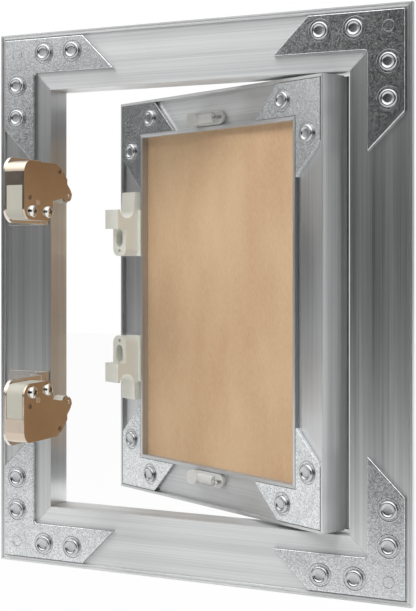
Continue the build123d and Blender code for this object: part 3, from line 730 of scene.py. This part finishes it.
@dataclass
class Leaf:
    """The swinging leaf: board, pivots, strikes and tether lugs."""

    strike_x: float = -66.5 * MM
    screw_height: float = 28.6 * MM
    screw_floor: float = -5.5 * MM

    def build(self, finishes: Finishes, turn: Matrix) -> None:
        """Dress the leaf's pieces and model the strikes' screws.

        Args:
            finishes: Materials of the panel.
            turn: Where the leaf stands from where it is modelled.
        """
        for node, width, look, slot_name in (
            ("board_back_paper", 0.05, finishes.back_paper, "back_paper"),
            ("board_gypsum_core", 0.10, finishes.gypsum, "gypsum"),
            ("board_face_paper", 0.05, finishes.face_paper, "face_paper"),
            ("upper_strike", 0.45, finishes.white, "white_nylon"),
            ("lower_strike", 0.45, finishes.white, "white_nylon"),
            ("tether_lug_top", 0.40, finishes.clear, "white_nylon"),
            ("tether_lug_bottom", 0.40, finishes.clear, "white_nylon"),
            ("tether_lug_pins_top", 0.10, finishes.zinc, "bright_steel"),
            ("tether_lug_pins_bottom", 0.10, finishes.zinc, "bright_steel"),
            ("pivot_block_top", 0.30, finishes.cream, "cream_nylon"),
            ("pivot_block_bottom", 0.30, finishes.cream, "cream_nylon"),
            ("pivot_pin_top", 0.10, finishes.zinc, "bright_steel"),
            ("pivot_pin_bottom", 0.10, finishes.zinc, "bright_steel"),
        ):
            softened(node, width * MM, look, Body.LEAF)
        for end in ("top", "bottom"):
            softened(f"pivot_bush_{end}", 0.15 * MM, finishes.cream, Body.FRAME)
        pattern = PanScrew(2.6 * MM, 1.8 * MM, 1.5 * MM, 9.9 * MM).head()
        stand = Matrix.Rotation(math.radians(90.0), 4, "X") @ Matrix.Rotation(math.radians(12.0), 4, "Z")
        for level, sign in (("upper", 1), ("lower", -1)):
            place = Matrix.Translation((self.strike_x, self.screw_floor, sign * self.screw_height))
            screw = copy_to(pattern, f"{level}_strike_fixing", turn @ place @ stand)
            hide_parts(f"{level}_strike_screw")
            dress(screw, finishes.zinc, Body.LEAF)
        discard(pattern)


# ------- studio


@dataclass
class Studio:
    """Pale floor, soft lamps, a dark card that the flat metal mirrors, and the camera."""

    floor_height: float = -0.45
    lens: float = 74.1
    camera_place: Point = (0.25205, -0.53217, 0.02167)
    camera_turn: float = math.radians(24.72)
    shift: float = -0.084
    front_glow: float = 1.3
    back_glow: float = 0.65
    high_glow: float = 2.6
    floor_glow: float = 1.5

    def floor(self) -> None:
        """Lay the floor, which a camera sees as white where no shadow falls."""
        bpy.ops.object.select_all(action="DESELECT")
        bpy.ops.mesh.primitive_plane_add(size=12.0, location=(0.0, 0.0, self.floor_height))
        ground = bpy.context.active_object
        ground.name = "studio_floor"
        material, tree = new_material("white_paper_floor")
        rays = add_node(tree, "ShaderNodeLightPath")
        seen = add_node(tree, "ShaderNodeMath", links={0: rays.outputs["Is Camera Ray"],
                        1: rays.outputs["Is Glossy Ray"]}, operation="MAXIMUM")
        matt = add_node(tree, "ShaderNodeBsdfDiffuse", {"Color": linear("#f0f0ee")})
        bright = add_node(tree, "ShaderNodeMapRange", {"To Min": 1.0, "To Max": self.floor_glow},
                          {"Value": rays.outputs["Is Glossy Ray"]})
        glow = add_node(tree, "ShaderNodeEmission", {"Color": linear("#ffffff")},
                        {"Strength": bright.outputs[0]})
        share = add_node(tree, "ShaderNodeMath", {1: 0.95}, {0: seen.outputs[0]}, operation="MULTIPLY")
        mix = add_node(tree, "ShaderNodeMixShader", links={0: share.outputs[0], 1: matt.outputs[0],
                       2: glow.outputs[0]})
        close_material(tree, mix.outputs[0])
        ground.data.materials.append(material)

    def card(self, name: str, place: Point, size: tuple[float, float],
             stops: tuple[tuple[float, str], ...], sideways: bool = False) -> None:
        """Hang an upright card that only reflections see.

        Args:
            name: Name of the card.
            place: Its middle, in metres.
            size: Its width and height in metres.
            stops: Shares of its width along X or Y, each with an sRGB hex shade.
            sideways: Whether its width runs along Y and not along X.
        """
        bpy.ops.object.select_all(action="DESELECT")
        turn = math.radians(90.0) if sideways else 0.0
        bpy.ops.mesh.primitive_plane_add(size=1.0, location=place, rotation=(math.radians(90.0), 0.0, turn))
        card = bpy.context.active_object
        card.name = name
        card.scale = (size[0], size[1], 1.0)
        settle(card)
        material, tree = new_material(f"{name}_cloth")
        box = add_node(tree, "ShaderNodeTexCoord").outputs["Generated"]
        across = add_node(tree, "ShaderNodeSeparateXYZ", links={0: box})
        ramp = add_node(tree, "ShaderNodeValToRGB", links={"Fac": across.outputs["Y" if sideways else "X"]})
        while len(ramp.color_ramp.elements) < len(stops):
            ramp.color_ramp.elements.new(0.5)
        for element, (position, shade) in zip(ramp.color_ramp.elements, stops):
            element.position = position
            element.color = linear(shade)
        glow = add_node(tree, "ShaderNodeEmission", {"Strength": self.front_glow},
                        {"Color": ramp.outputs["Color"]})
        close_material(tree, glow.outputs[0])
        card.data.materials.append(material)
        card.visible_camera = False
        card.visible_diffuse = False
        card.visible_shadow = False
        card.visible_transmission = False

    def lamp(self, name: str, place: Point, aim: Point, size: float, power: float) -> None:
        """Hang a square soft lamp.

        Args:
            name: Name of the lamp.
            place: Where it hangs.
            aim: Point that it faces.
            size: Its side in metres.
            power: Its power in watts.
        """
        light = bpy.data.lights.new(name, "AREA")
        light.size = size
        light.energy = power
        holder = bpy.data.objects.new(name, light)
        holder.location = place
        holder.rotation_euler = (Vector(aim) - Vector(place)).to_track_quat("-Z", "Y").to_euler()
        holder.visible_glossy = False
        bpy.context.collection.objects.link(holder)

    def sky(self) -> None:
        """Fill the world: white where it is seen, grey where it lights, brighter in front in mirrors."""
        world = bpy.data.worlds.new("studio_world")
        bpy.context.scene.world = world
        world.use_nodes = True
        tree = world.node_tree
        tree.nodes.clear()
        rays = add_node(tree, "ShaderNodeLightPath")
        shown = add_node(tree, "ShaderNodeMath", links={0: rays.outputs["Is Camera Ray"],
                         1: rays.outputs["Is Transmission Ray"]}, operation="MAXIMUM")
        plain = add_node(tree, "ShaderNodeMapRange", {"To Min": 0.45, "To Max": 1.0},
                         {"Value": shown.outputs[0]})
        towards = add_node(tree, "ShaderNodeTexCoord").outputs["Generated"]
        parts = add_node(tree, "ShaderNodeSeparateXYZ", links={0: towards})
        mirrored = add_node(tree, "ShaderNodeMapRange", {
            "From Min": -0.2, "From Max": 0.6, "To Min": self.front_glow, "To Max": self.back_glow,
        }, {"Value": parts.outputs["Y"]})
        lift = add_node(tree, "ShaderNodeMapRange", {
            "From Min": 0.35, "From Max": 0.85, "To Min": 1.0, "To Max": self.high_glow,
        }, {"Value": parts.outputs["Z"]})
        lifted = add_node(tree, "ShaderNodeMath", links={0: mirrored.outputs[0], 1: lift.outputs[0]},
                          operation="MULTIPLY")
        strength = add_node(tree, "ShaderNodeMix", links={
            0: rays.outputs["Is Glossy Ray"], 2: plain.outputs[0], 3: lifted.outputs[0]})
        back = add_node(tree, "ShaderNodeBackground", {"Color": (1.0, 1.0, 1.0, 1.0)},
                        {"Strength": strength.outputs[0]})
        add_node(tree, "ShaderNodeOutputWorld", links={"Surface": back.outputs[0]})

    def camera(self) -> None:
        """Place the camera where the photograph was taken from."""
        lens = bpy.data.cameras.new("photo_camera")
        lens.lens = self.lens
        lens.sensor_width = 36.0
        lens.sensor_fit = "AUTO"
        lens.shift_y = self.shift
        holder = bpy.data.objects.new("photo_camera", lens)
        holder.location = self.camera_place
        holder.rotation_euler = (math.radians(90.0), 0.0, self.camera_turn)
        bpy.context.collection.objects.link(holder)
        bpy.context.scene.camera = holder

    def build(self) -> None:
        """Set the stage, the lamps and the camera."""
        bpy.context.scene.view_settings.view_transform = "Standard"
        self.sky()
        self.floor()
        self.card("front_right_card", (0.9, -1.6, 0.22), (3.3, 1.34),
                  ((0.0, "#808080"), (0.07, "#404040"), (0.14, "#1c1c1c"), (1.0, "#202020")))
        self.card("front_left_card", (-1.25, -1.55, -0.01), (1.0, 0.68),
                  ((0.0, "#707070"), (0.3, "#383838"), (0.56, "#505050"), (0.66, "#8a8a8a"),
                   (0.76, "#505050"), (1.0, "#606060")))
        self.card("web_card", (-1.09, -1.5, -0.35), (0.24, 0.26), ((0.0, "#ffffff"), (1.0, "#ffffff")))
        self.card("left_card", (-1.6, -0.11, 0.19), (0.72, 0.82),
                  ((0.0, "#3c3c3c"), (0.35, "#707070"), (1.0, "#707070")), True)
        self.card("far_left_card", (-1.62, -0.86, 0.01), (0.78, 0.36),
                  ((0.0, "#606060"), (1.0, "#484848")), True)
        self.lamp("key_lamp", (-0.45, -1.3, 1.5), (0.0, 0.0, 0.0), 1.0, 26.0)
        self.lamp("fill_lamp", (0.5, -1.2, 1.0), (0.0, 0.0, 0.0), 0.6, 3.5)
        self.lamp("room_lamp", (0.5, 1.6, 1.0), (0.0, 0.0, 0.0), 0.8, 18.0)
        self.camera()


def main() -> None:
    """Build the panel's looks and its studio."""
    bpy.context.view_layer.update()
    finishes = Finishes()
    pivot = Vector((56.0 * MM, 9.5 * MM, 0.0))
    ajar = (Matrix.Translation(pivot) @ Matrix.Rotation(math.radians(-25.7), 4, "Z")
            @ Matrix.Translation(-pivot))
    still = Matrix.Identity(4)
    MitredRails("frame", Body.FRAME).build(finishes)
    MitredRails("leaf", Body.LEAF).build(finishes)
    CornerPlates("frame", Body.FRAME, 105.5 * MM, 131.0 * MM, 3.0 * MM, 17.0 * MM, 47.5 * MM, 10.25 * MM,
                 (25.8 * MM, 41.8 * MM), 1.6 * MM, True).build(finishes, still)
    CornerPlates("leaf", Body.LEAF, 75.5 * MM, 101.0 * MM, 1.6 * MM, 15.6 * MM, 29.3 * MM, 9.5 * MM,
                 (25.7 * MM,), 0.4 * MM, False).build(finishes, ajar)
    TouchLatch("upper", Body.UPPER_LATCH).build(finishes)
    TouchLatch("lower", Body.LOWER_LATCH).build(finishes)
    Leaf().build(finishes, ajar)
    Studio().build()


if __name__ == "__main__":
    logging.basicConfig(level=logging.INFO, format="%(message)s")
    main()
